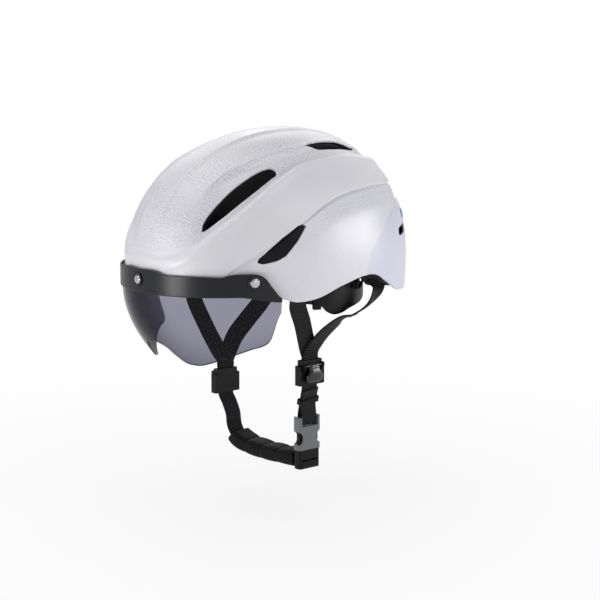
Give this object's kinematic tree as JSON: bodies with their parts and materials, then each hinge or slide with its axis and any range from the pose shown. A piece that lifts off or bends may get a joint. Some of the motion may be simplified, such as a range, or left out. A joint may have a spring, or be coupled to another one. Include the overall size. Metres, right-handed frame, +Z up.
{
  "type": "road bike helmet",
  "caption": "Rounded road bike helmet with a smoke goggle visor held by magnets, vents, a dial-driven fit belt, webbing straps, dividers, a chin pad and a side-release buckle.",
  "frame": {"origin": "centre of the head opening, level with the lowest line of the front brim", "axes": "+Z up through the crown, -Y to the front, +X to the wearer's left"},
  "size_m": [0.2088, 0.2982, 0.3241],
  "materials": {
    "pearl_white": "gloss",
    "pearl_lavender": "gloss",
    "teal_accent": "satin",
    "vent_grille": "matte",
    "foam": "matte",
    "pad_cloth": "matte",
    "hook_patch": "matte",
    "black_nylon": "satin",
    "dial_rubber": "matte",
    "grey_plastic": "satin",
    "gear_plastic": "satin",
    "steel": "satin",
    "chrome": "polished",
    "smoke_lens": "gloss",
    "visor_black": "satin",
    "webbing": "matte",
    "divider_black": "satin"
  },
  "bodies": {
    "helmet": {"crown_shell": "pearl_white", "lower_shell": "pearl_lavender", "rear_shell": "pearl_lavender", "rear_accent": "teal_accent", "side_vent_inserts": "vent_grille", "foam_liner": "foam", "brow_pad": "pad_cloth", "crown_pads": "pad_cloth", "side_pads": "pad_cloth", "cradle_pad": "pad_cloth", "chin_pad": "pad_cloth", "pad_hooks": "hook_patch", "headband": "black_nylon", "temple_guides": "black_nylon", "cradle_housing": "black_nylon", "cradle_cover": "black_nylon", "cradle_arms": "black_nylon", "strap_anchors": "black_nylon", "strap_keeper": "black_nylon", "buckle_socket": "grey_plastic", "cradle_screws": "steel", "shell_magnets": "steel", "front_strap_left": "webbing", "rear_strap_left": "webbing", "lower_strap_left": "webbing", "front_strap_right": "webbing", "rear_strap_right": "webbing", "lower_strap_right": "webbing", "chin_strap": "webbing", "divider_left": "divider_black", "divider_right": "divider_black"},
    "visor": {"visor_lens": "smoke_lens", "visor_frame": "visor_black", "visor_magnets": "chrome", "magnet_rings": "visor_black"},
    "dial": {"dial_knob": "dial_rubber", "dial_cap": "grey_plastic", "dial_pinion": "gear_plastic", "dial_screw": "steel"},
    "left_fit_belt": {"belt_left": "black_nylon", "belt_pad_left": "pad_cloth"},
    "right_fit_belt": {"belt_right": "black_nylon", "belt_pad_right": "pad_cloth"},
    "left_lever": {"divider_lever_left": "divider_black"},
    "right_lever": {"divider_lever_right": "divider_black"},
    "plug": {"buckle_plug": "divider_black"},
    "front_prong": {"plug_prong_front": "divider_black"},
    "rear_prong": {"plug_prong_rear": "divider_black"}
  },
  "joints": [
    {"name": "visor_pull", "type": "slide", "parent": "helmet", "child": "visor", "axis": [0, -1, 0], "range_m": [0, 0.14]},
    {"name": "dial_turn", "type": "hinge", "parent": "helmet", "child": "dial", "pos_m": [0, 0.083, -0.008], "axis": [0, -1, 0], "range_deg": [0, 144]},
    {"name": "belt_left_wrap", "type": "hinge", "parent": "helmet", "child": "left_fit_belt", "pos_m": [0, 0.008, -0.008], "axis": [0, 0, 1], "range_deg": [0, 9.61]},
    {"name": "belt_right_wrap", "type": "hinge", "parent": "helmet", "child": "right_fit_belt", "pos_m": [0, 0.008, -0.008], "axis": [0, 0, 1], "range_deg": [-9.61, 0]},
    {"name": "lever_left_lift", "type": "hinge", "parent": "helmet", "child": "left_lever", "pos_m": [0.0659, -0.011, -0.065], "axis": [0, -1, 0], "range_deg": [0, 80]},
    {"name": "lever_right_lift", "type": "hinge", "parent": "helmet", "child": "right_lever", "pos_m": [-0.0679, -0.017, -0.093], "axis": [0, 1, 0], "range_deg": [0, 80]},
    {"name": "plug_release", "type": "slide", "parent": "helmet", "child": "plug", "axis": [0, 0, -1], "range_m": [0, 0.028], "deforming": ["chin_strap", "chin_pad"]},
    {"name": "prong_front_squeeze", "type": "hinge", "parent": "plug", "child": "front_prong", "pos_m": [0.0485, -0.0143, -0.1488], "axis": [-1, 0, 0], "range_deg": [0, 6], "stiffness_Nm_per_rad": 0.2},
    {"name": "prong_rear_squeeze", "type": "hinge", "parent": "plug", "child": "rear_prong", "pos_m": [0.0485, 0.0053, -0.1488], "axis": [1, 0, 0], "range_deg": [0, 6], "stiffness_Nm_per_rad": 0.2}
  ],
  "couplings": [
    {"joint": "belt_left_wrap", "follows": "dial_turn", "ratio": 0.066667},
    {"joint": "belt_right_wrap", "follows": "dial_turn", "ratio": -0.066667},
    {"joint": "prong_rear_squeeze", "follows": "prong_front_squeeze", "ratio": 1}
  ]
}
